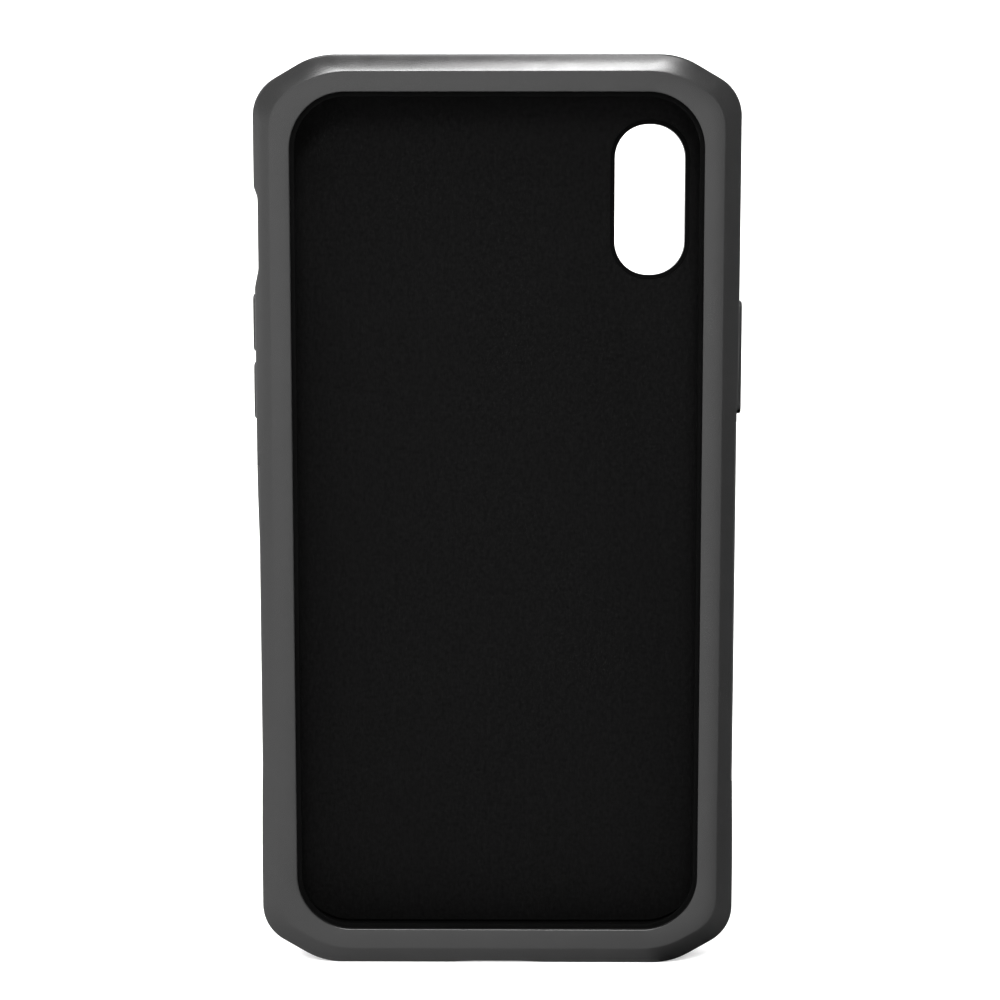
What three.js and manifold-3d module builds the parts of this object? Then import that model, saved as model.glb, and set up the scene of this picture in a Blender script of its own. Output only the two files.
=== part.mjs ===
// Rugged case for a 6.5-inch phone, as separate pieces.
// Millimetres. +X is to the right seen from the screen side, the screen side faces -Y, +Z is up.
// The origin is under the middle of the case, which stands on its bottom edge.

import * as THREE from 'three';
import { mergeVertices } from 'three/addons/utils/BufferGeometryUtils.js';
import Module from 'manifold-3d';

const wasm = await Module();
wasm.setup();

// ---- driving dimensions -------------------------------------------------------------------

const OUTER = { width: 88.0, height: 168.2 };
const CORNER_CUT = { x: 11.25, z: 6.55, topRadius: 13.5, sideRadius: 7.75 };
const LIP_CORNER = { extraCut: 0.32, topRadius: 16.5, sideRadius: 7.4 };
const FRONT_CHAMFER = { inset: 3.05, depth: 1.1 };
const REAR_CHAMFER = { inset: 2.4, depth: 2.4 };
const FRONT_OPENING = { width: 74.7, height: 154.8, radius: 10.2, edge: 0.25 };

const PHONE = { width: 77.4, height: 157.5, depth: 7.7, radius: 10.8 };
const PHONE_PLAY = 0.3;
const PHONE_DEPTH_PLAY = 0.2;
const GAP = 0.1;
const FIT_GAP = 0.2;

const LIP_THICKNESS = 0.9;
const RIM = { thickness: 0.5, reach: 0.8 };
const LINING_THICKNESS = 0.6;
const SLEEVE_WALL = 1.6;
const SLEEVE_FLOOR = 0.8;
const PLATE_THICKNESS = 1.2;
const PLATE_RECESS = 0.2;
const PLATE_INSET = 5.0;
const PANEL_INSET = 11.0;
const PANEL_DEPTH = 0.35;
const BEZEL_PROUD = 0.9;

const CAMERA = { x: 28.1, v: 58.25, width: 13.0, height: 27.6, radius: 6.2 };
const BEZEL = { flange: 1.7, neck: 0.8, chamfer: 0.4 };
const ISLAND_MARGIN = 3.8;

const BUTTON = { height: 4.0, radius: 1.4, chamfer: 0.35, flange: 0.7, flangeRim: 0.8 };
const BUTTONS = [
  { name: 'volume_up', side: -1, v: 35.95, length: 10.5, proud: 0.66 },
  { name: 'volume_down', side: -1, v: 23.5, length: 10.5, proud: 0.64 },
  { name: 'side', side: 1, v: 29.6, length: 20.7, proud: 0.72 },
];
const FLANGE_OUTER = 42.15;
const PAD = { thickness: 0.6, rim: 0.5 };
const PIN = { height: 1.6, inset: 4.0, tip: 39.3, play: 0.3 };

const GRIP = { depth: 1.4, frontY: -5.8, rearY: 3.75, bottom: -49.0 };
const GRIPS = [
  { name: 'left_grip', side: -1, top: 10.0 },
  { name: 'right_grip', side: 1, top: 18.0 },
];

// Shallow hollows in the side walls: one round the mute switch, and a waist on each side.
const SIDE_SCOOPS = [
  { side: -1, from: 45.6, to: 58.7, lowerRun: 3.2, upperRun: 1.9, depth: 0.72 },
  { side: -1, from: -46.0, to: -4.0, lowerRun: 17.0, upperRun: 12.0, depth: 0.28 },
  { side: 1, from: -48.0, to: 20.0, lowerRun: 15.0, upperRun: 8.0, depth: 0.28 },
];
const MUTE = { v: 52.0, length: 11.8 };
const PORT = { flat: 9.3, overall: 18.7, depth: 0.3, length: 14.0, below: 1.0 };
const CUTOUT = { height: 6.0, radius: 2.0 };
const SPEAKER = { x: 17.0, length: 12.0, height: 2.4 };

const CUSHION = { inner: 13.05, outer: 14.3, fromDeg: 8, toDeg: 82, frontY: -4.1, rearY: 3.0 };
const CUSHION_POCKET = { inner: 10.05, widenDeg: 2 };

// A pill's end radius as a share of its height, and how far cutters reach past what they cut:
// shallow scoops less than the rest, because their slopes run on to that distance.
const PILL_END = 0.45;
const BEYOND = 3.0;
const SCOOP_BEYOND = 0.5;

const MIN_RADIUS = 2.0;
const ARC_ERROR = 0.025;
const MERGE_DISTANCE = 1e-4;

// ---- stations through the depth, from the screen side to the back -------------------------

const POCKET_DEPTH = PHONE.depth + PHONE_DEPTH_PLAY;
const BODY_DEPTH = LIP_THICKNESS + GAP + RIM.thickness + POCKET_DEPTH + LINING_THICKNESS + GAP
  + SLEEVE_FLOOR + GAP + PLATE_THICKNESS + PLATE_RECESS;
const Y_FRONT = -(BODY_DEPTH + BEZEL_PROUD) / 2;
const Y_LIP_BACK = Y_FRONT + LIP_THICKNESS;
const Y_RIM_FRONT = Y_LIP_BACK + GAP;
const Y_POCKET_FRONT = Y_RIM_FRONT + RIM.thickness;
const Y_LINING_FRONT = Y_POCKET_FRONT + POCKET_DEPTH;
const Y_LINING_BACK = Y_LINING_FRONT + LINING_THICKNESS;
const Y_FLOOR_FRONT = Y_LINING_BACK + GAP;
const Y_FLOOR_BACK = Y_FLOOR_FRONT + SLEEVE_FLOOR;
const Y_PLATE_FRONT = Y_FLOOR_BACK + GAP;
const Y_PLATE_BACK = Y_PLATE_FRONT + PLATE_THICKNESS;
const Y_BACK = Y_FRONT + BODY_DEPTH;
const Y_BEZEL_BACK = Y_BACK + BEZEL_PROUD;
const Y_WALL_FRONT = Y_FRONT + FRONT_CHAMFER.depth;
const Y_WALL_BACK = Y_BACK - REAR_CHAMFER.depth;
const Y_MIDDLE = Y_POCKET_FRONT + PHONE.depth / 2;

// Pocket, sleeve and cavity outlines share one corner centre.
const POCKET = {
  width: PHONE.width + 2 * PHONE_PLAY,
  height: PHONE.height + 2 * PHONE_PLAY,
  radius: PHONE.radius + PHONE_PLAY,
};
const CAVITY_OFFSET = SLEEVE_WALL + FIT_GAP;
const SIDE_CAVITY = POCKET.width / 2 + CAVITY_OFFSET;
const SIDE_WALL = OUTER.width / 2;

// ---- outlines: points in X and height, counter-clockwise seen from the screen side --------

// The nominal radius sets the number of points, so offsets of one outline have equally many.
function arc(cx, cz, radius, from, to, nominal = radius) {
  const steps = Math.ceil((to - from) / (2 * Math.acos(1 - ARC_ERROR / nominal)));
  const points = [];
  for (let i = 0; i <= steps; i += 1) {
    const angle = from + ((to - from) * i) / steps;
    points.push(new THREE.Vector2(cx + radius * Math.cos(angle), cz + radius * Math.sin(angle)));
  }
  return points;
}

// Repeats the points of the upper right quarter in the other three.
function fourQuarters(quarter) {
  const flip = (sx, sz) => quarter.map((p) => new THREE.Vector2(p.x * sx, p.y * sz));
  return [...flip(1, 1), ...flip(-1, 1).reverse(), ...flip(-1, -1), ...flip(1, -1).reverse()];
}

// The case's outline with its cut corners, moved inwards by inset. The cut is a straight edge
// between the side and the top, with a round at each of its two ends. The rounds shrink with the
// inset unless corner says otherwise, and corner.extraCut moves the cut alone further in.
function cutCornerOutline(inset, corner = {}) {
  const tilt = Math.atan2(CORNER_CUT.z, CORNER_CUT.x);
  const turn = Math.PI / 2 - tilt;
  const sideX = OUTER.width / 2 - inset;
  const topZ = OUTER.height / 2 - inset;
  const reach = Math.sin(tilt) * (OUTER.width / 2 - CORNER_CUT.x)
    + Math.cos(tilt) * (OUTER.height / 2) - inset - (corner.extraCut ?? 0);
  const topX = (reach - Math.cos(tilt) * topZ) / Math.sin(tilt);
  const sideZ = (reach - Math.sin(tilt) * sideX) / Math.cos(tilt);
  const sideRadius = corner.sideRadius ?? Math.max(CORNER_CUT.sideRadius - inset, MIN_RADIUS);
  const topRadius = corner.topRadius ?? Math.max(CORNER_CUT.topRadius - inset, MIN_RADIUS);
  const sideCentre = [sideX - sideRadius, sideZ - sideRadius * Math.tan(turn / 2)];
  const topCentre = [topX - topRadius * Math.tan(tilt / 2), topZ - topRadius];
  return fourQuarters([
    ...arc(...sideCentre, sideRadius, 0, turn, CORNER_CUT.sideRadius),
    ...arc(...topCentre, topRadius, turn, Math.PI / 2, CORNER_CUT.topRadius),
  ]);
}

// A rounded rectangle grown by offset on every side.
function roundedOutline({ width, height, radius }, offset = 0) {
  return fourQuarters(
    arc(width / 2 - radius, height / 2 - radius, radius + offset, 0, Math.PI / 2, radius),
  );
}

// ---- solids --------------------------------------------------------------------------------

// A closed body through rings of equally many points, each ring at its own depth y.
function loft(rings) {
  const count = rings[0].points.length;
  const positions = rings.flatMap(({ y, points }) => points.flatMap((p) => [p.x, y, p.y]));
  const index = [];
  for (let ring = 0; ring < rings.length - 1; ring += 1) {
    for (let i = 0; i < count; i += 1) {
      const a = ring * count + i;
      const b = ring * count + ((i + 1) % count);
      index.push(a, a + count, b + count, a, b + count, b);
    }
  }
  const last = (rings.length - 1) * count;
  for (const [a, b, c] of THREE.ShapeUtils.triangulateShape(rings[0].points, [])) {
    index.push(a, b, c);
  }
  for (const [a, b, c] of THREE.ShapeUtils.triangulateShape(rings.at(-1).points, [])) {
    index.push(last + a, last + c, last + b);
  }
  const geometry = new THREE.BufferGeometry();
  geometry.setAttribute('position', new THREE.Float32BufferAttribute(positions, 3));
  geometry.setIndex(index);
  return geometry;
}

function slab(points, y0, y1) {
  return loft([{ y: y0, points }, { y: y1, points }]);
}

function box(x0, x1, y0, y1, z0, z1) {
  const geometry = new THREE.BoxGeometry(x1 - x0, y1 - y0, z1 - z0);
  return geometry.translate((x0 + x1) / 2, (y0 + y1) / 2, (z0 + z1) / 2);
}

// Geometries become solids for cutting and joining; a solid passes through as it is.
function toSolid(shape) {
  if (!shape.isBufferGeometry) return shape;
  const bare = shape.clone();
  bare.deleteAttribute('normal');
  bare.deleteAttribute('uv');
  const merged = mergeVertices(bare, MERGE_DISTANCE);
  return new wasm.Manifold(new wasm.Mesh({
    numProp: 3,
    vertProperties: new Float32Array(merged.attributes.position.array),
    triVerts: new Uint32Array(merged.index.array),
  }));
}

function toGeometry(solid) {
  const mesh = solid.getMesh();
  const geometry = new THREE.BufferGeometry();
  geometry.setAttribute('position', new THREE.Float32BufferAttribute(mesh.vertProperties, 3));
  geometry.setIndex(new THREE.Uint32BufferAttribute(mesh.triVerts, 1));
  geometry.computeVertexNormals();
  return geometry;
}

function cut(shape, cutters) {
  return cutters.reduce((rest, cutter) => rest.subtract(toSolid(cutter)), toSolid(shape));
}

function join(first, second) {
  return toSolid(first).add(toSolid(second));
}

function common(first, second) {
  return toSolid(first).intersect(toSolid(second));
}

// Moves a shape drawn as seen from in front onto a side wall: its depth becomes the distance
// inwards from that wall, so y = -44 lies 44 mm out from the middle.
function ontoSide(geometry, side, v) {
  return geometry.translate(side * Y_MIDDLE, 0, v).rotateZ((side * Math.PI) / 2);
}

// ---- materials -----------------------------------------------------------------------------

function material(color, roughness, metalness = 0) {
  return new THREE.MeshStandardMaterial({ color, roughness, metalness });
}

const SATIN_GREY = { color: 0x4f4f50, roughness: 0.42 };
const group = new THREE.Group();
group.position.z = OUTER.height / 2;

function addPiece(name, shape, look) {
  const mesh = new THREE.Mesh(toGeometry(toSolid(shape)), look);
  mesh.name = name;
  group.add(mesh);
}

// ---- shapes shared by several pieces -------------------------------------------------------

// Cutter through the whole depth, from points in X and height.
function scoop(points) {
  return slab(points.map(([x, z]) => new THREE.Vector2(x, z)), Y_FRONT - BEYOND, Y_BACK + BEYOND);
}

// Hollow in a side wall: flat floor with a slope at each end.
function sideScoop({ side, from, to, lowerRun, upperRun, depth }) {
  const floor = SIDE_WALL - depth;
  const outside = 1 + SCOOP_BEYOND / depth;
  const points = [
    [floor, to],
    [floor, from],
    [floor + depth + SCOOP_BEYOND, from - lowerRun * outside],
    [floor + depth + SCOOP_BEYOND, to + upperRun * outside],
  ];
  const placed = points.map(([x, z]) => [side * x, z]);
  return scoop(side > 0 ? placed : placed.reverse());
}

function portScoop() {
  const floor = OUTER.height / 2 - PORT.depth;
  const slope = (PORT.overall - PORT.flat) / 2 / PORT.depth;
  const mouth = PORT.flat / 2 + slope * (PORT.depth + PORT.below);
  return scoop([
    [-mouth, -OUTER.height / 2 - PORT.below],
    [mouth, -OUTER.height / 2 - PORT.below],
    [PORT.flat / 2, -floor],
    [-PORT.flat / 2, -floor],
  ]);
}

// The whole outside of the case.
function outerBody() {
  const body = loft([
    { y: Y_FRONT, points: cutCornerOutline(FRONT_CHAMFER.inset, LIP_CORNER) },
    { y: Y_WALL_FRONT, points: cutCornerOutline(0) },
    { y: Y_WALL_BACK, points: cutCornerOutline(0) },
    { y: Y_BACK, points: cutCornerOutline(REAR_CHAMFER.inset) },
  ]);
  return cut(body, [...SIDE_SCOOPS.map(sideScoop), portScoop()]);
}

function cameraOutline(offset) {
  return roundedOutline(CAMERA, offset).map((p) => p.add(new THREE.Vector2(CAMERA.x, CAMERA.v)));
}

// Rounded cutter through a side wall, from inner to outer millimetres out from the middle.
function sideCutter(side, v, length, height, radius, inner, outer) {
  const outline = roundedOutline({ width: height, height: length, radius });
  return ontoSide(slab(outline, -outer, -inner), side, v);
}

// Rounded cutter through the bottom wall.
function bottomCutter(x, length, height, radius) {
  const outline = roundedOutline({ width: length, height, radius });
  const top = -POCKET.height / 2 + BEYOND / 2;
  const bottom = -OUTER.height / 2 - BEYOND;
  return slab(outline, bottom, top).rotateX(Math.PI / 2).translate(x, Y_MIDDLE, 0);
}

// Openings that go through both the frame and the sleeve.
const speakerXs = [-SPEAKER.x, SPEAKER.x];
function wallCutters() {
  const muteReach = [POCKET.width / 2 - BEYOND / 2, SIDE_WALL + BEYOND];
  return [
    sideCutter(-1, MUTE.v, MUTE.length, CUTOUT.height, CUTOUT.radius, ...muteReach),
    bottomCutter(0, PORT.length, CUTOUT.height, CUTOUT.radius),
    ...speakerXs.map((x) => bottomCutter(
      x, SPEAKER.length, SPEAKER.height, SPEAKER.height * PILL_END,
    )),
  ];
}

// ---- bumper frame --------------------------------------------------------------------------

function gripBox({ side, top }, clearance) {
  const inner = SIDE_WALL - GRIP.depth + clearance;
  const outer = SIDE_WALL + BEYOND;
  const [x0, x1] = side > 0 ? [inner, outer] : [-outer, -inner];
  return box(
    x0, x1, GRIP.frontY + clearance, GRIP.rearY - clearance,
    GRIP.bottom + clearance, top - clearance,
  );
}

// Crescent between two radii round a pocket corner.
function crescent(sx, sz, inner, outer, widenDeg, y0, y1) {
  const from = THREE.MathUtils.degToRad(CUSHION.fromDeg - widenDeg);
  const to = THREE.MathUtils.degToRad(CUSHION.toDeg + widenDeg);
  const cx = POCKET.width / 2 - POCKET.radius;
  const cz = POCKET.height / 2 - POCKET.radius;
  const points = [...arc(cx, cz, outer, from, to), ...arc(cx, cz, inner, from, to).reverse()];
  const placed = points.map((p) => new THREE.Vector2(p.x * sx, p.y * sz));
  return slab(sx * sz > 0 ? placed : placed.reverse(), y0, y1);
}

const CORNERS = [
  { name: 'top_left', sx: -1, sz: 1 },
  { name: 'top_right', sx: 1, sz: 1 },
  { name: 'bottom_left', sx: -1, sz: -1 },
  { name: 'bottom_right', sx: 1, sz: -1 },
];

function buttonCutters({ side, v, length }) {
  const slotHeight = BUTTON.height + 2 * FIT_GAP;
  const rim = 2 * (BUTTON.flangeRim + FIT_GAP);
  return [
    sideCutter(side, v, length + 2 * FIT_GAP, slotHeight, BUTTON.radius + FIT_GAP,
      SIDE_CAVITY, SIDE_WALL + BEYOND),
    sideCutter(side, v, length + rim, BUTTON.height + rim, BUTTON.radius + FIT_GAP,
      SIDE_CAVITY - BEYOND, FLANGE_OUTER + GAP),
  ];
}

function bumperFrame() {
  const { edge } = FRONT_OPENING;
  const mouth = loft([
    { y: Y_FRONT - edge, points: roundedOutline(FRONT_OPENING, 2 * edge) },
    { y: Y_FRONT + edge, points: roundedOutline(FRONT_OPENING) },
    { y: Y_LIP_BACK + GAP, points: roundedOutline(FRONT_OPENING) },
  ]);
  const cavity = slab(roundedOutline(POCKET, CAVITY_OFFSET), Y_LIP_BACK, Y_PLATE_FRONT);
  const rearOpening = slab(cutCornerOutline(PLATE_INSET - FIT_GAP), Y_FLOOR_BACK, Y_BACK + BEYOND);
  const cushionPockets = CORNERS.map(({ sx, sz }) => crescent(
    sx, sz, CUSHION_POCKET.inner, CUSHION.outer + FIT_GAP, CUSHION_POCKET.widenDeg,
    CUSHION.frontY - FIT_GAP, CUSHION.rearY + FIT_GAP,
  ));
  return cut(outerBody(), [
    mouth, cavity, rearOpening, ...cushionPockets, ...BUTTONS.flatMap(buttonCutters),
    ...GRIPS.map((grip) => gripBox(grip, 0)), ...wallCutters(),
  ]);
}

addPiece('bumper_frame', bumperFrame(), material(SATIN_GREY.color, SATIN_GREY.roughness));

// ---- inner sleeve: soft tray that holds the phone, with a rim turned in behind the lip -----

// Cutter for the window that a push pin passes through, with play all round.
function pinWindow({ side, v, length }, inner, outer) {
  const windowLength = length - PIN.inset + 2 * PIN.play;
  const windowHeight = PIN.height + 2 * PIN.play;
  return sideCutter(side, v, windowLength, windowHeight, PIN.height / 2, inner, outer);
}

function innerSleeve() {
  const tray = slab(roundedOutline(POCKET, SLEEVE_WALL), Y_RIM_FRONT, Y_FLOOR_BACK);
  const mouth = slab(roundedOutline(FRONT_OPENING, -RIM.reach), Y_FRONT, Y_LINING_FRONT);
  const pocket = slab(roundedOutline(POCKET), Y_POCKET_FRONT, Y_FLOOR_FRONT);
  const cameraHole = slab(cameraOutline(0), Y_LINING_FRONT, Y_BACK);
  const pinWindows = BUTTONS.map((button) => pinWindow(
    button, POCKET.width / 2 - BEYOND / 2, SIDE_CAVITY + BEYOND,
  ));
  return cut(tray, [mouth, pocket, cameraHole, ...pinWindows, ...wallCutters()]);
}

addPiece('inner_sleeve', innerSleeve(), material(0x141415, 0.8));

// ---- back lining: thin felt on the sleeve's floor ------------------------------------------

function backLining() {
  const felt = slab(roundedOutline(POCKET, -2 * FIT_GAP), Y_LINING_FRONT, Y_LINING_BACK);
  return cut(felt, [slab(cameraOutline(BEZEL.neck), Y_LINING_FRONT - GAP, Y_LINING_BACK + GAP)]);
}

addPiece('back_lining', backLining(), material(0x0c0c0d, 0.95));

// ---- back plate: stiff plate in the frame's rear opening, with a shallow sunk panel --------

function backPlate() {
  const plate = slab(cutCornerOutline(PLATE_INSET), Y_PLATE_FRONT, Y_PLATE_BACK);
  const cameraHole = slab(cameraOutline(BEZEL.neck + FIT_GAP), Y_FLOOR_FRONT, Y_BACK);
  const island = slab(cameraOutline(ISLAND_MARGIN), Y_PLATE_FRONT, Y_BACK + BEYOND);
  const panel = slab(cutCornerOutline(PANEL_INSET), Y_PLATE_BACK - PANEL_DEPTH, Y_BACK);
  return cut(plate, [cameraHole, cut(panel, [island])]);
}

addPiece('back_plate', backPlate(), material(0x3c3c3e, 0.5));

// ---- camera bezel: metal ring with a neck through the plate --------------------------------

function cameraBezel() {
  const flange = loft([
    { y: Y_PLATE_BACK + GAP, points: cameraOutline(BEZEL.flange) },
    { y: Y_BEZEL_BACK - BEZEL.chamfer, points: cameraOutline(BEZEL.flange) },
    { y: Y_BEZEL_BACK, points: cameraOutline(BEZEL.flange - BEZEL.chamfer) },
  ]);
  const neck = slab(cameraOutline(BEZEL.neck), Y_PLATE_FRONT + GAP, Y_BACK);
  const hole = slab(cameraOutline(0), Y_LINING_FRONT, Y_BEZEL_BACK + BEYOND);
  return cut(join(flange, neck), [hole]);
}

addPiece('camera_bezel', cameraBezel(), material(0x2b2b2d, 0.35, 0.8));

// ---- buttons: cap with flange, push pin to the phone's own key, soft return pad ------------

function buttonCap({ side, v, length, proud }) {
  const face = { width: BUTTON.height, height: length, radius: BUTTON.radius };
  const outside = SIDE_WALL + proud;
  const cap = loft([
    { y: -outside, points: roundedOutline(face, -BUTTON.chamfer) },
    { y: -outside + BUTTON.chamfer, points: roundedOutline(face) },
    { y: -FLANGE_OUTER + BUTTON.flange / 2, points: roundedOutline(face) },
  ]);
  const flange = slab(
    roundedOutline(face, BUTTON.flangeRim), -FLANGE_OUTER, -FLANGE_OUTER + BUTTON.flange,
  );
  return join(ontoSide(cap, side, v), ontoSide(flange, side, v));
}

function pushPin({ side, v, length }) {
  const outline = roundedOutline({
    width: PIN.height, height: length - PIN.inset, radius: PIN.height * PILL_END,
  });
  const head = FLANGE_OUTER - BUTTON.flange - GAP;
  return ontoSide(slab(outline, -head, -PIN.tip), side, v);
}

function returnPad(button) {
  const { side, v, length } = button;
  const outer = FLANGE_OUTER - BUTTON.flange - GAP;
  const pad = sideCutter(side, v, length + 2 * PAD.rim, BUTTON.height + 2 * PAD.rim, BUTTON.radius,
    outer - PAD.thickness, outer);
  return cut(pad, [pinWindow(button, SIDE_CAVITY - BEYOND, SIDE_WALL)]);
}

for (const button of BUTTONS) {
  addPiece(`${button.name}_button`, buttonCap(button), material(0x4a4a4b, 0.38));
  addPiece(`${button.name}_push_pin`, pushPin(button), material(0x1b1b1c, 0.5));
  addPiece(`${button.name}_return_pad`, returnPad(button), material(0x202021, 0.85));
}

// ---- corner cushions: soft crescents between sleeve and frame ------------------------------

for (const { name, sx, sz } of CORNERS) {
  const shape = crescent(
    sx, sz, CUSHION.inner, CUSHION.outer, 0, CUSHION.frontY, CUSHION.rearY,
  );
  addPiece(`corner_cushion_${name}`, shape, material(0x28282a, 0.85));
}

// ---- side grips: textured inserts, flush with the waist ------------------------------------

for (const grip of GRIPS) {
  const insert = common(outerBody(), gripBox(grip, GAP));
  addPiece(grip.name, insert, material(0x434344, 0.75));
}

export default group;
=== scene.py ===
"""Rugged phone case, standing on its bottom edge, seen from the screen side."""

import math

import bmesh
import bpy
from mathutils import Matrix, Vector


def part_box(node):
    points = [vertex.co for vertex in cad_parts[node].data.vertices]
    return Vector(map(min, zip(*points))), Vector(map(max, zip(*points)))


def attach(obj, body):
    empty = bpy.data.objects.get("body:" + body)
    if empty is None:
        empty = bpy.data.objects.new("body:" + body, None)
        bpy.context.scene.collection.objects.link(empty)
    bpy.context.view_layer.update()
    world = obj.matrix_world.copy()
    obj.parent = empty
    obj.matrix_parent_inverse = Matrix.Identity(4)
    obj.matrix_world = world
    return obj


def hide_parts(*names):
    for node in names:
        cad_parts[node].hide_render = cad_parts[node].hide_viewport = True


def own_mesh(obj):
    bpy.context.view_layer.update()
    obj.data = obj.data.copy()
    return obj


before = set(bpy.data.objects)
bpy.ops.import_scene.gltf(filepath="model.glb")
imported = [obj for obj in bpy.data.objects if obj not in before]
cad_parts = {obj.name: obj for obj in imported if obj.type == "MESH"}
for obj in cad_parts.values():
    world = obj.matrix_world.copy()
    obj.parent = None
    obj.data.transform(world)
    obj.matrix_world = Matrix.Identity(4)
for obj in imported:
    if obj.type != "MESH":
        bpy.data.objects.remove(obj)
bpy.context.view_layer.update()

MM = 0.001

# ---- sizes in millimetres, read from the frame where it has them -------------------------------


def node_box(name):
    low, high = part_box(name)
    return [v / MM for v in low], [v / MM for v in high]


FRAME_LOW, FRAME_HIGH = node_box("bumper_frame")
SLEEVE_LOW, SLEEVE_HIGH = node_box("inner_sleeve")
LINING_LOW, LINING_HIGH = node_box("back_lining")
PLATE_LOW, PLATE_HIGH = node_box("back_plate")
BEZEL_LOW, BEZEL_HIGH = node_box("camera_bezel")

HALF_W = FRAME_HIGH[0]
HALF_H = (FRAME_HIGH[2] - FRAME_LOW[2]) / 2
MID_Z = (FRAME_HIGH[2] + FRAME_LOW[2]) / 2
Y_FRONT, Y_BACK = FRAME_LOW[1], FRAME_HIGH[1]
GAP, FIT_GAP = 0.1, 0.2
FRONT_INSET, FRONT_DEPTH, REAR_INSET, PLATE_INSET, PANEL_INSET = 3.05, 1.1, 2.4, 5.0, 11.0
Y_LIP_BACK = SLEEVE_LOW[1] - GAP
Y_WALL_FRONT = Y_FRONT + FRONT_DEPTH
Y_WALL_BACK = Y_BACK - REAR_INSET
Y_PLATE_FRONT = PLATE_LOW[1]
Y_MIDDLE = sum(corner[1] for corner in node_box("side_button")) / 2

CUT_X, CUT_Z, MIN_RADIUS = 11.25, 6.55, 2.0
WALL_CORNER = {"extra_cut": 0.0, "top_radius": 13.5, "side_radius": 7.75}
LIP_CORNER = {"extra_cut": 0.32, "top_radius": 16.5, "side_radius": 7.4}

OPENING = (74.7, 154.8, 10.2)
POCKET = (78.0, 158.1, 11.1)
RIM_REACH, RIM_THICKNESS = 0.8, 0.5
SLEEVE_WALL, SLEEVE_FLOOR, CAVITY_OFFSET = 1.6, 0.8, 1.8
CAMERA_HOLE = (13.0, 27.6, 6.2)
CAMERA_X = (BEZEL_LOW[0] + BEZEL_HIGH[0]) / 2
CAMERA_V = (BEZEL_LOW[2] + BEZEL_HIGH[2]) / 2 - MID_Z

MUTE_V, MUTE_LENGTH = 52.0, 11.8
PORT_FLAT, PORT_SLOPE, PORT_DEPTH, PORT_LENGTH = 9.3, 4.7, 0.3, 14.0
SIDE_SCOOPS = [
    {"side": -1, "start": 45.6, "end": 58.7, "lower_run": 3.2, "upper_run": 1.9, "depth": 0.72},
    {"side": -1, "start": -46.0, "end": -4.0, "lower_run": 17.0, "upper_run": 12.0, "depth": 0.28},
    {"side": 1, "start": -48.0, "end": 20.0, "lower_run": 15.0, "upper_run": 8.0, "depth": 0.28},
]
CUTOUT_HEIGHT, CUTOUT_RADIUS = 6.0, 2.0
SPEAKER_X, SPEAKER_LENGTH, SPEAKER_HEIGHT = 17.0, 12.0, 2.4

BUTTONS = {"volume_up": -1, "volume_down": -1, "side": 1}
BUTTON_HEIGHT, BUTTON_RADIUS = 4.0, 1.4
FLANGE_OUTER, FLANGE_THICKNESS, FLANGE_RIM = 42.15, 0.7, 0.8
PAD_OUTER, PAD_INNER, PAD_RIM = 41.35, 40.75, 0.5
PIN_WINDOW = {"height": 2.2, "shorter": 3.4, "radius": 0.8}
GRIPS = {"left_grip": -1, "right_grip": 1}
CAVITY_HALF = POCKET[0] / 2 + CAVITY_OFFSET

CHAMFER_CROWN, LIP_ROUND, FRONT_WALL_ROUND, REAR_WALL_ROUND = 0.08, 0.9, 0.4, 0.9
REAR_ROUND, REAR_RIM_ROUND, MOUTH_ROUND = 0.5, 0.25, 0.2
CUSHION_POCKET = {"inner": 10.0, "outer": 14.5, "from": 6, "to": 84, "steps": 16, "play": 0.2}
BEYOND, PAST_POCKET, PIN_CUT_START = 3.0, 1.5, -45.0

SIDE_STEPS, TOP_STEPS = 14, 8

# ---- outlines: (x, height from the middle), counter-clockwise seen from the screen side --------


def arc(cx, cz, radius, start, end, steps):
    turns = [start + (end - start) * i / steps for i in range(steps + 1)]
    return [(cx + radius * math.cos(t), cz + radius * math.sin(t)) for t in turns]


def steps_between(a, b, spacing):
    """Heights strictly between a and b."""
    count = max(1, round(abs(b - a) / spacing))
    return [a + (b - a) * i / count for i in range(1, count)]


def around(quarter, side_stations=(), bottom_stations=()):
    """The upper right quarter's points repeated in the other three, with more points on the two
    sides, at the given heights, and on the bottom edge."""
    right, top = quarter[0][0], quarter[-1][1]
    heights = sorted(side_stations)
    rising, falling = [(right, v) for v in heights], [(-right, v) for v in reversed(heights)]
    bottom = [(x, -top) for x in sorted(bottom_stations)]
    upper_left = [(-x, z) for x, z in reversed(quarter)]
    lower_left = [(-x, -z) for x, z in quarter]
    lower_right = [(x, -z) for x, z in reversed(quarter)]
    return quarter + upper_left + falling + lower_left + bottom + lower_right + rising


def cut_corner_quarter(inset, corner=None):
    """Upper right quarter of the case's outline, moved inwards by inset."""
    if corner is None:
        corner = {
            "extra_cut": 0.0,
            "top_radius": max(WALL_CORNER["top_radius"] - inset, MIN_RADIUS),
            "side_radius": max(WALL_CORNER["side_radius"] - inset, MIN_RADIUS),
        }
    tilt = math.atan2(CUT_Z, CUT_X)
    turn = math.pi / 2 - tilt
    side_x, top_z = HALF_W - inset, HALF_H - inset
    reach = math.sin(tilt) * (HALF_W - CUT_X) + math.cos(tilt) * HALF_H
    reach -= inset + corner["extra_cut"]
    top_x = (reach - math.cos(tilt) * top_z) / math.sin(tilt)
    side_z = (reach - math.sin(tilt) * side_x) / math.cos(tilt)
    side_r, top_r = corner["side_radius"], corner["top_radius"]
    side_centre = (side_x - side_r, side_z - side_r * math.tan(turn / 2))
    top_centre = (top_x - top_r * math.tan(tilt / 2), top_z - top_r)
    return (
        arc(*side_centre, side_r, 0, turn, SIDE_STEPS)
        + arc(*top_centre, top_r, turn, math.pi / 2, TOP_STEPS)
    )


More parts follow.
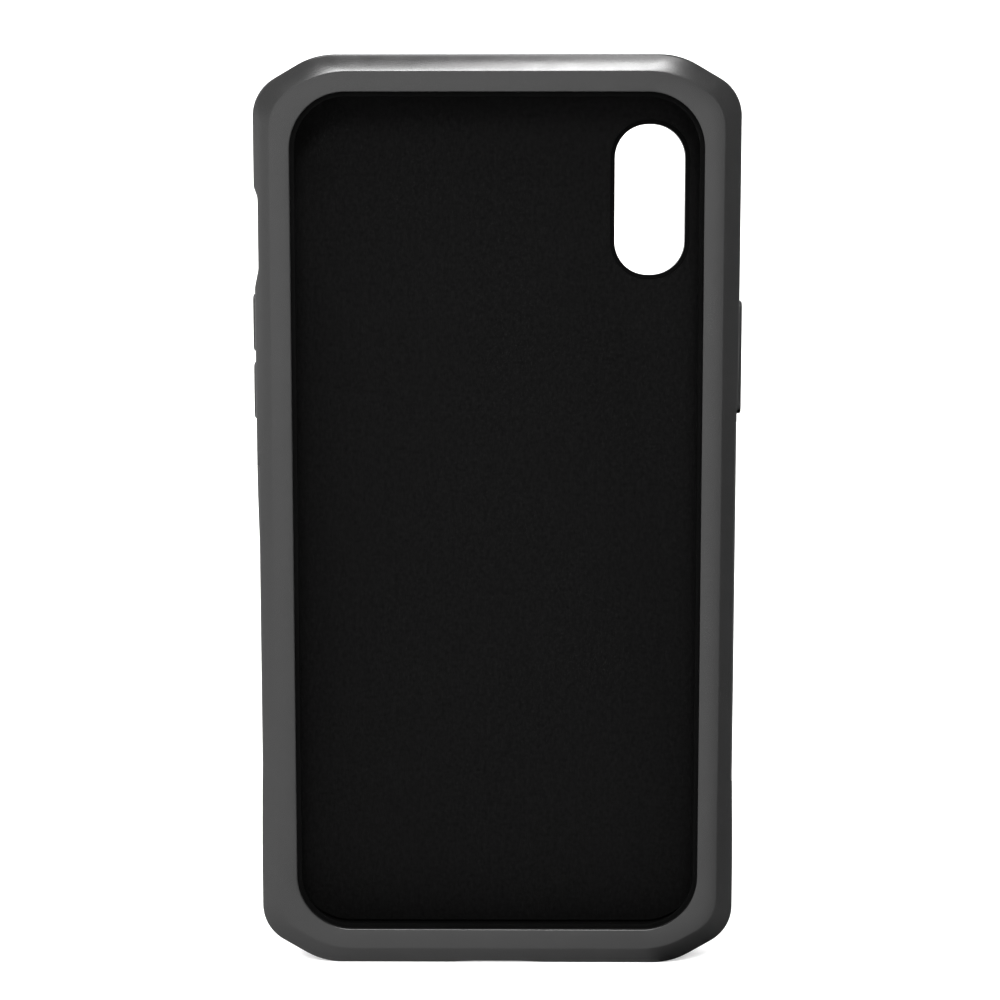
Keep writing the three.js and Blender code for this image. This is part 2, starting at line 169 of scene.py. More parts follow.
def front_quarter(inset):
    """The front chamfer's outline, which turns from the wall's corners to the lip's."""
    share = inset / FRONT_INSET
    wall = cut_corner_quarter(0, WALL_CORNER)
    lip = cut_corner_quarter(FRONT_INSET, LIP_CORNER)
    return [(a + (c - a) * share, b + (d - b) * share) for (a, b), (c, d) in zip(wall, lip)]


def rounded_quarter(size, offset=0.0, steps=SIDE_STEPS + TOP_STEPS + 1):
    width, height, radius = size
    return arc(width / 2 - radius, height / 2 - radius, radius + offset, 0, math.pi / 2, steps)


# ---- meshes -------------------------------------------------------------------------------------


def upright(x, y, z):
    return x, y, z


def on_side(side, v):
    """Places a shape drawn as seen from in front onto a side wall: y = -44 lands 44 mm out."""
    return lambda x, y, z: (-side * y, side * x + Y_MIDDLE, z + v)


def on_bottom(x0):
    """Places a shape so that its depth y becomes a height, counted from the middle."""
    return lambda x, y, z: (x + x0, -z + Y_MIDDLE, y)


def new_object(name, verts, faces, place=upright):
    mesh = bpy.data.meshes.new(name)
    placed = [place(*v) for v in verts]
    mesh.from_pydata([(x * MM, y * MM, (z + MID_Z) * MM) for x, y, z in placed], [], faces)
    work = bmesh.new()
    work.from_mesh(mesh)
    bmesh.ops.recalc_face_normals(work, faces=work.faces)
    work.to_mesh(mesh)
    work.free()
    piece = bpy.data.objects.new(name, mesh)
    bpy.context.scene.collection.objects.link(piece)
    return piece


def lofted(name, rings, place=upright, ring_shaped=False):
    """A closed body through rings (y, outline). ring_shaped joins the last ring to the first."""
    count = len(rings[0][1])
    verts = [(x, y, z) for y, outline in rings for x, z in outline]
    pairs = list(zip(range(len(rings) - 1), range(1, len(rings))))
    if ring_shaped:
        pairs.append((len(rings) - 1, 0))
    faces = []
    for first, second in pairs:
        for i in range(count):
            j = (i + 1) % count
            quad = (first * count + i, second * count + i, second * count + j, first * count + j)
            faces.append(quad)
    if not ring_shaped:
        faces.append(tuple(range(count)))
        faces.append(tuple(reversed(range(len(verts) - count, len(verts)))))
    return new_object(name, verts, faces, place)


def slab(name, outline, y0, y1, place=upright):
    return lofted(name, [(y0, outline), (y1, outline)], place)


def rounded(size, offset=0.0, steps=8):
    return around(rounded_quarter(size, offset, steps))


def camera_outline(offset, steps=16):
    return [(x + CAMERA_X, z + CAMERA_V) for x, z in rounded(CAMERA_HOLE, offset, steps)]


def fillet(before, corner, after, radius, steps=3):
    """Points of a round of about this radius where the path before-corner-after turns."""
    a, b, c = Vector(before), Vector(corner), Vector(after)
    u, w = (a - b).normalized(), (c - b).normalized()
    setback = radius / math.tan(u.angle(w) / 2)
    start, end = b + u * setback, b + w * setback
    points = []
    for i in range(steps + 1):
        t = i / steps
        points.append(tuple((1 - t) ** 2 * start + 2 * t * (1 - t) * b + t ** 2 * end))
    return points


def apply_modifiers(piece):
    graph = bpy.context.evaluated_depsgraph_get()
    mesh = bpy.data.meshes.new_from_object(piece.evaluated_get(graph))
    piece.modifiers.clear()
    old, piece.data = piece.data, mesh
    bpy.data.meshes.remove(old)


def cut_away(piece, cutters):
    """Subtracts the cutters from a piece and removes them."""
    for cutter in cutters:
        step = piece.modifiers.new("cut", "BOOLEAN")
        step.operation = "DIFFERENCE"
        step.solver = "EXACT"
        step.object = cutter
    apply_modifiers(piece)
    for cutter in cutters:
        bpy.data.objects.remove(cutter)


def shade(piece, angle=32):
    for face in piece.data.polygons:
        face.use_smooth = True
    piece.data.set_sharp_from_angle(angle=math.radians(angle))


def soften(piece, width, segments=2, angle=35):
    """Rounds the sharp edges and shades the piece smoothly."""
    step = piece.modifiers.new("soften", "BEVEL")
    step.width = width * MM
    step.segments = segments
    step.limit_method = "ANGLE"
    step.angle_limit = math.radians(angle)
    step.use_clamp_overlap = True
    apply_modifiers(piece)
    shade(piece)


def finish_piece(piece, material, body, slot, *nodes):
    piece.data.materials.clear()
    piece.data.materials.append(material)
    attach(piece, body)
    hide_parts(*nodes)


# ---- materials ----------------------------------------------------------------------------------


class Look:
    """A Principled material and short ways to add procedural detail to it."""

    def __init__(self, name, roughness, metallic=0.0, specular=0.5):
        self.material = bpy.data.materials.new(name)
        self.material.use_nodes = True
        self.tree = self.material.node_tree
        self.shader = self.tree.nodes["Principled BSDF"]
        self.shader.inputs["Roughness"].default_value = roughness
        self.shader.inputs["Metallic"].default_value = metallic
        self.shader.inputs["Specular IOR Level"].default_value = specular
        self.place = self.tree.nodes.new("ShaderNodeTexCoord").outputs["Object"]
        self.heights = []

    def noise(self, scale, detail=3.0, stretch=(1, 1, 1)):
        scaled = self.tree.nodes.new("ShaderNodeMapping")
        scaled.inputs["Scale"].default_value = stretch
        self.tree.links.new(self.place, scaled.inputs["Vector"])
        node = self.tree.nodes.new("ShaderNodeTexNoise")
        node.inputs["Scale"].default_value = scale
        node.inputs["Detail"].default_value = detail
        self.tree.links.new(scaled.outputs["Vector"], node.inputs["Vector"])
        return node.outputs["Fac"]

    def spread(self, value, low, high):
        node = self.tree.nodes.new("ShaderNodeMapRange")
        node.inputs["From Min"].default_value = 0.25
        node.inputs["From Max"].default_value = 0.75
        node.inputs["To Min"].default_value = low
        node.inputs["To Max"].default_value = high
        self.tree.links.new(value, node.inputs["Value"])
        return node.outputs["Result"]

    def roughness(self, value, low, high):
        self.tree.links.new(self.spread(value, low, high), self.shader.inputs["Roughness"])

    def colour(self, value, dark, light):
        node = self.tree.nodes.new("ShaderNodeMix")
        node.data_type = "RGBA"
        node.inputs["A"].default_value = (*dark, 1)
        node.inputs["B"].default_value = (*light, 1)
        self.tree.links.new(self.spread(value, 0, 1), node.inputs["Factor"])
        self.tree.links.new(node.outputs["Result"], self.shader.inputs["Base Color"])

    def bump(self, height, distance, strength=1.0):
        node = self.tree.nodes.new("ShaderNodeBump")
        node.inputs["Strength"].default_value = strength
        node.inputs["Distance"].default_value = distance * MM
        self.tree.links.new(height, node.inputs["Height"])
        if self.heights:
            self.tree.links.new(self.heights[-1], node.inputs["Normal"])
        self.heights.append(node.outputs["Normal"])
        self.tree.links.new(node.outputs["Normal"], self.shader.inputs["Normal"])


def grey(value):
    return value, value, value


def moulded_plastic(name, tone, roughness):
    look = Look(name, roughness)
    look.colour(look.noise(60, 4), grey(tone * 0.96), grey(tone * 1.04))
    look.roughness(look.noise(180, 5), roughness - 0.03, roughness + 0.04)
    look.bump(look.noise(5200, 2), 0.004, 0.5)
    return look.material


def soft_rubber(name, tone, roughness=0.75, specular=0.35):
    look = Look(name, roughness, specular=specular)
    look.colour(look.noise(90, 4), grey(tone * 0.85), grey(tone * 1.15))
    look.roughness(look.noise(700, 4), roughness - 0.06, roughness + 0.08)
    look.bump(look.noise(3400, 3), 0.012, 0.6)
    return look.material


def felt(name, tone):
    look = Look(name, 0.95, specular=0.03)
    look.colour(look.noise(1500, 6), grey(tone * 0.6), grey(tone * 1.4))
    look.bump(look.noise(2600, 8, (1, 1, 0.35)), 0.06, 0.8)
    return look.material


def grained_plate(name, tone):
    look = Look(name, 0.48)
    look.colour(look.noise(45, 4), grey(tone * 0.95), grey(tone * 1.06))
    look.roughness(look.noise(400, 5), 0.42, 0.56)
    look.bump(look.noise(2100, 6), 0.03, 0.6)
    return look.material


def blasted_metal(name, tone):
    look = Look(name, 0.38, metallic=1.0)
    look.colour(look.noise(140, 4), grey(tone * 0.92), grey(tone * 1.08))
    look.roughness(look.noise(900, 4), 0.32, 0.44)
    look.bump(look.noise(6500, 2), 0.006, 0.6)
    return look.material


# ---- bumper frame -------------------------------------------------------------------------------

SCOOP_BLEND, SHOULDER = 0.6, 0.1
SIDE_STATION_REACH, PORT_STATION_REACH = 66.0, 14.0
FINE_FROM, FINE_TO = 42.0, 62.0
COARSE_STEP, FINE_STEP, PORT_STEP = 2.0, 0.4, 0.7
SIDE_STATIONS = (
    [-SIDE_STATION_REACH] + steps_between(-SIDE_STATION_REACH, FINE_FROM, COARSE_STEP)
    + [FINE_FROM] + steps_between(FINE_FROM, FINE_TO, FINE_STEP)
    + [FINE_TO, FINE_TO + COARSE_STEP, SIDE_STATION_REACH]
)
PORT_STATIONS = [-PORT_STATION_REACH] + steps_between(
    -PORT_STATION_REACH, PORT_STATION_REACH, PORT_STEP
) + [PORT_STATION_REACH]


def smooth_lower(a, b, blend):
    """The lower of two values, blended where they are close."""
    h = max(0.0, min(1.0, 0.5 + 0.5 * (b - a) / blend))
    return b + (a - b) * h - blend * h * (1 - h)


def slope(past, run, depth, blend):
    """How far a scoop has risen from its floor, this far past the floor's end."""
    return -smooth_lower(0.0, -past, blend) * depth / run


def side_limit(side, v):
    """Half-width left by the scoops at this height."""
    limit = HALF_W + 1.0
    for scoop in SIDE_SCOOPS:
        if scoop["side"] == side:
            up = slope(v - scoop["end"], scoop["upper_run"], scoop["depth"], SCOOP_BLEND)
            down = slope(scoop["start"] - v, scoop["lower_run"], scoop["depth"], SCOOP_BLEND)
            limit = min(limit, HALF_W - scoop["depth"] + up + down)
    return limit


def scooped(outline):
    """Presses the scoops into an outline, with soft shoulders."""
    points = []
    for x, z in outline:
        side = 1 if x > 0 else -1
        if abs(z) < SIDE_STATION_REACH and abs(x) > HALF_W - FRONT_INSET / 2:
            x = side * smooth_lower(abs(x), side_limit(side, z), SHOULDER)
        if z < 0 and abs(x) < PORT_STATION_REACH:
            rise = slope(abs(x) - PORT_FLAT / 2, PORT_SLOPE, PORT_DEPTH, 2 * SCOOP_BLEND)
            z = -smooth_lower(-z, HALF_H - PORT_DEPTH + rise, SHOULDER / 2)
        points.append((x, z))
    return points


def frame_outline(quarter):
    return around(quarter, SIDE_STATIONS, PORT_STATIONS)


def outside_quarter(inset, y):
    return front_quarter(inset) if y < (Y_FRONT + Y_BACK) / 2 else cut_corner_quarter(inset)


def crown(start, end, rise, steps):
    """Points between start and end on a shallow arch that stands out towards the screen side."""
    run, drop = end[0] - start[0], end[1] - start[1]
    length = math.hypot(run, drop)
    points = []
    for i in range(1, steps):
        t = i / steps
        lift = 4 * rise * t * (1 - t)
        points.append((start[0] + run * t - lift * drop / length,
                       start[1] + drop * t + lift * run / length))
    return points


def outer_profile():
    """(inset, y) along the outside, from the lip to the rear opening."""
    lip_edge, wall_edge = (FRONT_INSET, Y_FRONT), (0.0, Y_WALL_FRONT)
    arch = crown(lip_edge, wall_edge, CHAMFER_CROWN, 8)
    rear_edge, rear_wall = (REAR_INSET, Y_BACK), (0.0, Y_WALL_BACK)
    rim = [(PLATE_INSET - FIT_GAP, Y_BACK), (PLATE_INSET - FIT_GAP, Y_PLATE_FRONT)]
    points = fillet((PLATE_INSET, Y_FRONT), lip_edge, arch[0], LIP_ROUND, 4)
    points += arch
    points += fillet(arch[-1], wall_edge, rear_wall, FRONT_WALL_ROUND, 4)
    points += fillet(wall_edge, rear_wall, rear_edge, REAR_WALL_ROUND, 4)
    points += fillet(rear_wall, rear_edge, rim[0], REAR_ROUND, 4)
    points += fillet(rear_edge, rim[0], rim[1], REAR_RIM_ROUND, 4)
    return points


def wall_cutters():
    """The openings that go through both the frame and the sleeve."""
    pill = (CUTOUT_HEIGHT, MUTE_LENGTH, CUTOUT_RADIUS)
    port = (PORT_LENGTH, CUTOUT_HEIGHT, CUTOUT_RADIUS)
    slot = (SPEAKER_LENGTH, SPEAKER_HEIGHT, SPEAKER_HEIGHT / 2.05)
    reach = (-HALF_H - BEYOND, -POCKET[1] / 2 + PAST_POCKET)
    side_reach = (-HALF_W - BEYOND, -POCKET[0] / 2 + PAST_POCKET)
    cutters = [slab("cut", rounded(pill), *side_reach, on_side(-1, MUTE_V))]
    cutters.append(slab("cut", rounded(port), *reach, on_bottom(0)))
    for x in (-SPEAKER_X, SPEAKER_X):
        cutters.append(slab("cut", rounded(slot), *reach, on_bottom(x)))
    return cutters


def button_place(name):
    """Height from the middle, and the cap's length without its flange."""
    low, high = node_box(name + "_button")
    return (low[2] + high[2]) / 2 - MID_Z, high[2] - low[2] - 2 * FLANGE_RIM


def pin_window(length):
    return PIN_WINDOW["height"], length - PIN_WINDOW["shorter"], PIN_WINDOW["radius"]


def button_cutters(name, side):
    v, length = button_place(name)
    opening = (BUTTON_HEIGHT + 0.4, length + 0.4, BUTTON_RADIUS + 0.2)
    recess = (BUTTON_HEIGHT + 2.0, length + 2.0, BUTTON_RADIUS + 0.2)
    return [
        slab("cut", rounded(opening), -HALF_W - BEYOND, -CAVITY_HALF, on_side(side, v)),
        slab("cut", rounded(recess), -FLANGE_OUTER - GAP, -CAVITY_HALF + BEYOND, on_side(side, v)),
    ]


def grip_cutter(name, side):
    low, high = node_box(name)
    grown = [low[1] - GAP, high[1] + GAP, low[2] - MID_Z - GAP, high[2] - MID_Z + GAP]
    inner = (low[0] if side > 0 else -high[0]) - GAP
    outer = HALF_W + 2 * BEYOND
    outline = [(inner, grown[2]), (outer, grown[2]), (outer, grown[3]), (inner, grown[3])]
    return slab("cut", [(side * x, z) for x, z in outline], grown[0], grown[1])


def cushion_cutter(name):
    low, high = node_box(name)
    sx = 1 if low[0] > 0 else -1
    sz = 1 if low[2] > MID_Z else -1
    cx, cz = POCKET[0] / 2 - POCKET[2], POCKET[1] / 2 - POCKET[2]
    start, end = math.radians(CUSHION_POCKET["from"]), math.radians(CUSHION_POCKET["to"])
    steps, play = CUSHION_POCKET["steps"], CUSHION_POCKET["play"]
    shape = arc(cx, cz, CUSHION_POCKET["outer"], start, end, steps)
    shape += arc(cx, cz, CUSHION_POCKET["inner"], end, start, steps)
    return slab("cut", [(sx * x, sz * z) for x, z in shape], low[1] - play, high[1] + play)


def bumper_frame():
    mouth = [(0.0, Y_LIP_BACK)]
    mouth += fillet((0.0, Y_LIP_BACK), (0.0, Y_FRONT), (4.0, Y_FRONT), MOUTH_ROUND, 4)
    rings = [(y, frame_outline(rounded_quarter(OPENING, offset))) for offset, y in mouth]
    for inset, y in outer_profile():
        rings.append((y, scooped(frame_outline(outside_quarter(inset, y)))))
    rings.append((Y_PLATE_FRONT, frame_outline(cut_corner_quarter(PLATE_INSET - FIT_GAP))))
    cavity = frame_outline(rounded_quarter(POCKET, CAVITY_OFFSET))
    rings += [(Y_PLATE_FRONT, cavity), (Y_LIP_BACK, cavity)]
    piece = lofted("bumper_frame_shell", rings, ring_shaped=True)
    cutters = wall_cutters()
    for name, side in BUTTONS.items():
        cutters += button_cutters(name, side)
    cutters += [grip_cutter(name, side) for name, side in GRIPS.items()]
    cutters += [cushion_cutter(name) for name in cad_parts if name.startswith("corner")]
    cut_away(piece, cutters)
    soften(piece, 0.14)
    return piece


# ---- inner sleeve and lining --------------------------------------------------------------------


def inner_sleeve():
    front, back = SLEEVE_LOW[1], SLEEVE_HIGH[1]
    floor, pocket = back - SLEEVE_FLOOR, front + RIM_THICKNESS
    rim = -RIM_REACH
    floor_round, rim_round, rim_front_round, outer_round = 0.6, 0.2, 0.22, 0.3
    inside = [(-1.2, floor)] + fillet((-1.2, floor), (0, floor), (0, pocket), floor_round, 4)
    inside += fillet((0, floor), (0, pocket), (-1.0, pocket), rim_round)
    rings = [(y, rounded(POCKET, offset, 23)) for offset, y in inside]
    lip = fillet((1.0, pocket), (rim, pocket), (rim, front), rim_round)
    lip += fillet((rim, pocket), (rim, front), (1.0, front), rim_front_round)
    rings += [(y, rounded(OPENING, offset, 23)) for offset, y in lip]
    outside = fillet((0, front), (SLEEVE_WALL, front), (SLEEVE_WALL, back), outer_round)
    outside += fillet((SLEEVE_WALL, front), (SLEEVE_WALL, back), (0, back), outer_round)
    rings += [(y, rounded(POCKET, offset, 23)) for offset, y in outside]
    piece = lofted("inner_sleeve_tray", rings)
    cutters = wall_cutters() + [slab("cut", camera_outline(0), floor - 1, back + 1)]
    for name, side in BUTTONS.items():
        v, length = button_place(name)
        reach = (PIN_CUT_START, -POCKET[0] / 2 + PAST_POCKET)
        cutters.append(slab("cut", rounded(pin_window(length)), *reach, on_side(side, v)))
    cut_away(piece, cutters)
    soften(piece, 0.1)
    return piece


def back_lining():
    front, back = LINING_LOW[1], LINING_HIGH[1]
    rings = [
        (front, rounded(POCKET, -0.6, 23)),
        (front + 0.2, rounded(POCKET, -0.4, 23)),
        (back, rounded(POCKET, -0.4, 23)),
    ]
    piece = lofted("back_lining_felt", rings)
    cut_away(piece, [slab("cut", camera_outline(0.8), front - 1, back + 1)])
    soften(piece, 0.1)
    return piece


# ---- back plate and camera bezel ----------------------------------------------------------------


def back_plate():
    front, back = PLATE_LOW[1], PLATE_HIGH[1]
    edge, panel_depth, bezel_hole, island_margin = 0.25, 0.35, 1.0, 3.8
    rings = [
        (front, around(cut_corner_quarter(PLATE_INSET))),
        (back - edge, around(cut_corner_quarter(PLATE_INSET))),
        (back, around(cut_corner_quarter(PLATE_INSET + edge))),
    ]
    piece = lofted("back_plate_cover", rings)
    panel = lofted("cut", [
        (back - panel_depth, around(cut_corner_quarter(PANEL_INSET))),
        (back + 0.65, around(cut_corner_quarter(PANEL_INSET - 1.0))),
    ])
    island = slab("cut", camera_outline(island_margin), back - 2, back + 2)
    cut_away(panel, [island])
    cut_away(piece, [panel, slab("cut", camera_outline(bezel_hole), front - 1, back + 1)])
    soften(piece, 0.12)
    return piece


def camera_bezel():
    front, back = BEZEL_LOW[1], BEZEL_HIGH[1]
    seat = PLATE_HIGH[1] + GAP
    flange, neck, hole_round, rim_round = 1.7, 0.8, 0.25, 0.5
    path = [
        (0.0, front), (0.0, back), (flange, back), (flange, seat), (neck, seat), (neck, front),
    ]
    points = [path[0]]
    points += fillet(path[0], path[1], path[2], hole_round)
    points += fillet(path[1], path[2], path[3], rim_round, 5)
    points += [path[3], path[4], path[5]]
    rings = [(y, camera_outline(offset)) for offset, y in points]
    piece = lofted("camera_bezel_ring", rings, ring_shaped=True)
    shade(piece)
    return piece


# ---- buttons ------------------------------------------------------------------------------------


def button_cap(name, side):
    v, length = button_place(name)
    face = (BUTTON_HEIGHT, length, BUTTON_RADIUS)
    low, high = node_box(name + "_button")
    outer = max(abs(low[0]), abs(high[0])) - 0.01
    path = [(2.0, -outer), (0.0, -outer), (0.0, -FLANGE_OUTER), (-FLANGE_RIM, -FLANGE_OUTER)]
    face_inset, edge_round = 1.1, 0.45
    points = [(face_inset, -outer)] + fillet(path[0], path[1], path[2], edge_round, 5) + path[2:]
    points += [(-FLANGE_RIM, -FLANGE_OUTER + FLANGE_THICKNESS)]
    rings = [(y, rounded(face, -inset)) for inset, y in points]
    piece = lofted(name + "_cap", rings, on_side(side, v))
    shade(piece, 40)
    return piece


def return_pad(name, side):
    v, length = button_place(name)
    outer = (BUTTON_HEIGHT + 2 * PAD_RIM, length + 2 * PAD_RIM, BUTTON_RADIUS)
    hole = pin_window(length)
    near, far = -PAD_OUTER, -PAD_INNER
    edge, hole_edge = 0.15, 0.12
    rings = [
        (near, rounded(hole, hole_edge)), (near, rounded(outer, -edge)),
        (near + edge, rounded(outer)), (far - edge, rounded(outer)),
        (far, rounded(outer, -edge)), (far, rounded(hole, hole_edge)),
        (far - hole_edge, rounded(hole)), (near + hole_edge, rounded(hole)),
    ]
    piece = lofted(name + "_pad", rings, on_side(side, v), ring_shaped=True)
    shade(piece)
    return piece


# ---- side grips ---------------------------------------------------------------------------------

RIB_PITCH, RIB_HEIGHT, GRIP_SPACING = 1.5, 0.16, 0.2
GRIP_BORDER, GRIP_MARGIN, GRIP_SHOULDER, GRIP_SINK = 0.3, 0.7, 0.3, 0.01


def knurl(along, across):
    """0 to 1: small diamonds on a crossed pattern of ridges."""
    a = 0.5 + 0.5 * math.cos(2 * math.pi * (along + across) / RIB_PITCH)
    b = 0.5 + 0.5 * math.cos(2 * math.pi * (along - across) / RIB_PITCH)
    return min(a, b)


def side_grip(name, side):
    """An insert flush with the frame around it: front chamfer, knurled wall, rear chamfer."""
    low, high = node_box(name)
    inner = min(abs(low[0]), abs(high[0]))
    y0, y1 = low[1], high[1]
    v0, v1 = low[2] - MID_Z, high[2] - MID_Z
    across = [y0] + steps_between(y0, y1, GRIP_SPACING) + [y1]
    along = [v0] + steps_between(v0, v1, GRIP_SPACING) + [v1]
    verts = []
    for v in along:
        wall = smooth_lower(HALF_W, side_limit(side, v), SHOULDER)
        verts.append((side * inner, y0, v))
        for y in across:
            chamfers = (HALF_W - (Y_WALL_FRONT - y) * FRONT_INSET / FRONT_DEPTH,
                        HALF_W - (y - Y_WALL_BACK))
            outer = smooth_lower(wall, min(chamfers), GRIP_SHOULDER)
            border = min(v - v0, v1 - v, y - y0, y1 - y)
            fade = max(0.0, min(1.0, (border - GRIP_BORDER) / GRIP_MARGIN))
            outer -= RIB_HEIGHT * fade * (1 - knurl(v - v0, y - Y_MIDDLE))
            verts.append((side * (outer - GRIP_SINK), y, v))
        verts.append((side * inner, y1, v))
    count = len(across) + 2
    faces = []
    for row in range(len(along) - 1):
        for i in range(count):
            j = (i + 1) % count
            faces.append((row * count + i, row * count + j, (row + 1) * count + j,
                          (row + 1) * count + i))
    faces.append(tuple(range(count)))
    faces.append(tuple(reversed(range(len(verts) - count, len(verts)))))
    piece = new_object(name + "_insert", verts, faces)
    shade(piece, 50)
    return piece


# ---- making the pieces --------------------------------------------------------------------------

FRAME_LOOK = moulded_plastic("frame_plastic", 0.013, 0.20)
BUTTON_LOOK = moulded_plastic("button_plastic", 0.013, 0.24)
GRIP_LOOK = soft_rubber("grip_rubber", 0.026, 0.42, 0.5)
SLEEVE_LOOK = soft_rubber("sleeve_rubber", 0.002, 0.8, 0.01)
PAD_LOOK = soft_rubber("pad_rubber", 0.02)
CUSHION_LOOK = soft_rubber("cushion_rubber", 0.03)
FELT_LOOK = felt("black_felt", 0.0028)
PLATE_LOOK = grained_plate("plate_plastic", 0.035)
METAL_LOOK = blasted_metal("dark_metal", 0.10)
PIN_LOOK = moulded_plastic("pin_plastic", 0.02, 0.5)

finish_piece(bumper_frame(), FRAME_LOOK, "case", "frame", "bumper_frame")
finish_piece(inner_sleeve(), SLEEVE_LOOK, "case", "sleeve", "inner_sleeve")
finish_piece(back_lining(), FELT_LOOK, "case", "lining", "back_lining")
finish_piece(back_plate(), PLATE_LOOK, "case", "plate", "back_plate")
finish_piece(camera_bezel(), METAL_LOOK, "case", "bezel", "camera_bezel")

for grip_name, grip_side in GRIPS.items():
    finish_piece(side_grip(grip_name, grip_side), GRIP_LOOK, "case", "grip", grip_name)

for button_name, button_side in BUTTONS.items():
    cap_node, pad_node = button_name + "_button", button_name + "_return_pad"
    finish_piece(button_cap(button_name, button_side), BUTTON_LOOK, button_name, "button", cap_node)
    pad = return_pad(button_name, button_side)
    finish_piece(pad, PAD_LOOK, "case", "pad", pad_node)
    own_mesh(pad)

for node_name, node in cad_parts.items():
    if node_name.startswith("corner"):
        node.data.materials.clear()
        node.data.materials.append(CUSHION_LOOK)
    if node_name.endswith("push_pin"):
        node.data.materials.clear()
        node.data.materials.append(PIN_LOOK)

# ---- camera: in front of the lip, a little above the middle -------------------------------------

VIEW_ELEVATION, VIEW_AZIMUTH = math.radians(7.265), math.radians(0.478)
VIEW_DISTANCE, VIEW_LENS = 420.45, 82.734
VIEW_TARGET = Vector((0.543, Y_FRONT, MID_Z + 3.75))

camera_data = bpy.data.cameras.new("camera")
camera_data.sensor_width = 36.0
camera_data.lens = VIEW_LENS
camera = bpy.data.objects.new("camera", camera_data)
bpy.context.scene.collection.objects.link(camera)
offset = VIEW_DISTANCE * Vector((
    math.sin(VIEW_AZIMUTH) * math.cos(VIEW_ELEVATION),
    -math.cos(VIEW_AZIMUTH) * math.cos(VIEW_ELEVATION),
    math.sin(VIEW_ELEVATION),
))
camera.location = (VIEW_TARGET + offset) * MM
camera.rotation_euler = (-offset).to_track_quat("-Z", "Y").to_euler()
bpy.context.scene.camera = camera

# ---- floor and light ----------------------------------------------------------------------------


def studio_floor():
    """A pale floor, in metres, that curves up into a wall on every side. It glows a little, so
    that the contact shadow stays faint."""
    width, depth, corner, ahead = 5.6, 3.6, 0.6, 1.3
    radius, wall = 0.3, 1.5
    tone, glow = 0.92, 0.4
    quarter = arc(width / 2 - corner, depth / 2 - corner, corner, 0, math.pi / 2, 6)
    turns = [math.pi / 2 * i / 12 for i in range(13)]
    rise = [(radius * math.sin(t), radius - radius * math.cos(t)) for t in turns] + [(radius, wall)]
    verts, faces = [], []
    for growth, z in rise:
        for x, y in around(quarter):
            stretch = 1 + growth / math.hypot(width / 2, depth / 2)
            verts.append((x * stretch, y * stretch - ahead, z))
    count = len(around(quarter))
    for ring in range(len(rise) - 1):
        for i in range(count):
            j = (i + 1) % count
            faces.append((ring * count + j, ring * count + i, (ring + 1) * count + i,
                          (ring + 1) * count + j))
    faces.append(tuple(range(count)))
    mesh = bpy.data.meshes.new("floor")
    mesh.from_pydata(verts, [], faces)
    for face in mesh.polygons:
        face.use_smooth = True
    piece = bpy.data.objects.new("floor", mesh)
    bpy.context.scene.collection.objects.link(piece)
    look = Look("floor_paper", 0.9, specular=0.1)
    look.shader.inputs["Base Color"].default_value = (*grey(tone), 1)
    look.shader.inputs["Emission Color"].default_value = (1, 1, 1, 1)
    look.shader.inputs["Emission Strength"].default_value = glow
    mesh.materials.append(look.material)
    piece.visible_glossy = False


def direction(azimuth, elevation):
    """Unit vector from the case; azimuth 0 is towards the camera side and grows to the right."""
    a, e = math.radians(azimuth), math.radians(elevation)
    return Vector((math.sin(a) * math.cos(e), -math.cos(a) * math.cos(e), math.sin(e)))


def softbox(name, azimuth, elevation, distance, size, power):
    """A rectangular lamp that faces the middle of the case."""
    data = bpy.data.lights.new(name, "AREA")
    data.shape = "RECTANGLE"
    data.size, data.size_y = size
    data.energy = power
    lamp = bpy.data.objects.new(name, data)
    towards = direction(azimuth, elevation)
    lamp.location = Vector((0, 0, MID_Z * MM)) + distance * towards
    lamp.rotation_euler = (-towards).to_track_quat("-Z", "Y").to_euler()
    bpy.context.scene.collection.objects.link(lamp)


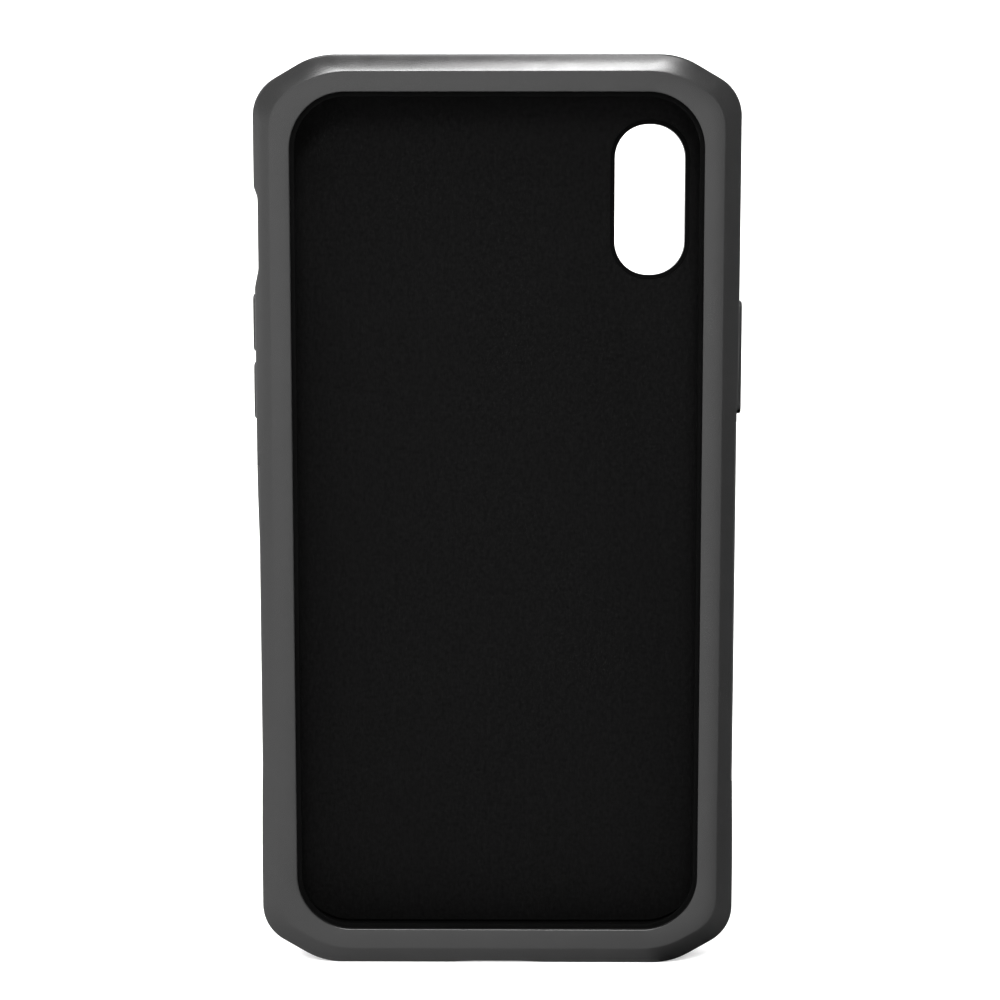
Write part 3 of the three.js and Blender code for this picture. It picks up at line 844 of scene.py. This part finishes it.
class Surroundings:
    """The world's light by direction: bright low ahead, with a dark patch to the right in front
    and a fainter one to the left. The case's gloss reflects it, since the floor is hidden there."""

    def __init__(self):
        self.world = bpy.data.worlds.new("studio")
        self.world.use_nodes = True
        self.tree = self.world.node_tree
        self.ray = self.tree.nodes.new("ShaderNodeTexCoord").outputs["Generated"]
        self.height = self.tree.nodes.new("ShaderNodeSeparateXYZ")
        self.tree.links.new(self.ray, self.height.inputs[0])

    def ramp(self, value, source, result, kind="SMOOTHSTEP"):
        node = self.tree.nodes.new("ShaderNodeMapRange")
        node.interpolation_type = kind
        node.inputs["From Min"].default_value, node.inputs["From Max"].default_value = source
        node.inputs["To Min"].default_value, node.inputs["To Max"].default_value = result
        self.tree.links.new(value, node.inputs["Value"])
        return node.outputs["Result"]

    def combine(self, operation, first, second):
        node = self.tree.nodes.new("ShaderNodeMath")
        node.operation = operation
        self.tree.links.new(first, node.inputs[0])
        self.tree.links.new(second, node.inputs[1])
        return node.outputs[0]

    def patch(self, towards, inner, outer, depth):
        """depth inside the inner angle, fading to 0 at the outer angle."""
        node = self.tree.nodes.new("ShaderNodeVectorMath")
        node.operation = "DOT_PRODUCT"
        self.tree.links.new(self.ray, node.inputs[0])
        node.inputs[1].default_value = towards
        reach = (math.cos(math.radians(outer)), math.cos(math.radians(inner)))
        return self.ramp(node.outputs["Value"], reach, (0, depth))

    def build(self):
        """Ground light up to just above the horizon, sky light over it."""
        z = self.height.outputs["Z"]
        ground = self.ramp(z, (-1, 0), (GROUND_BELOW, GROUND_AHEAD), "LINEAR")
        right = self.ramp(self.height.outputs["X"], (0.05, 0.11), (0, RIGHT_DIP))
        for dip in (right, self.patch(direction(*DARK_PATCH), 14, 42, GROUND_DIP),
                    self.patch(direction(*LEFT_PATCH), 8, 22, LEFT_DIP)):
            ground = self.combine("SUBTRACT", ground, dip)
        sky = self.ramp(self.patch(direction(*DARK_PATCH), 14, 42, 1), (0, 1), (SKY, SKY - SKY_DIP))
        total = self.combine("ADD", self.combine("MULTIPLY", ground, self.ramp(z, HORIZON, (1, 0))),
                             self.combine("MULTIPLY", sky, self.ramp(z, HORIZON, (0, 1))))
        self.tree.links.new(total, self.tree.nodes["Background"].inputs["Strength"])
        self.tree.nodes["Background"].inputs["Color"].default_value = (1, 1, 1, 1)
        bpy.context.scene.world = self.world


# name, azimuth and elevation in degrees, distance and size in metres, power in watts
SOFTBOXES = [
    ("front_fill", -4.0, 31.0, 1.0, (0.28, 0.20), 4.7),
    ("edge_right", 6.5, 40.0, 1.0, (0.20, 0.20), 3.5),
    ("high_right", 14.5, 50.5, 1.0, (0.26, 0.22), 1.0),
    ("high_front", -15.0, 66.0, 1.0, (0.5, 0.3), 4.2),
    ("left", -61.4, 9.8, 1.27, (0.6, 0.6), 0.6),
    ("high_left", -82.9, 41.6, 1.08, (0.5, 0.5), 5.0),
    ("backdrop", 180.0, 62.0, 1.27, (1.4, 0.5), 3.5),
]

# Directions are azimuth and elevation in degrees. The rest are strengths of the world's light.
DARK_PATCH, LEFT_PATCH = (40, 15), (-42, 7)
HORIZON = (0.08, 0.16)
SKY, SKY_DIP = 0.55, 0.40
GROUND_AHEAD, GROUND_BELOW, GROUND_DIP, LEFT_DIP, RIGHT_DIP = 1.60, 0.40, 0.57, 0.42, 0.95

studio_floor()
for box_name, azimuth, elevation, distance, size, power in SOFTBOXES:
    softbox(box_name, azimuth, elevation, distance, size, power)
Surroundings().build()
bpy.context.scene.view_settings.view_transform = "Standard"
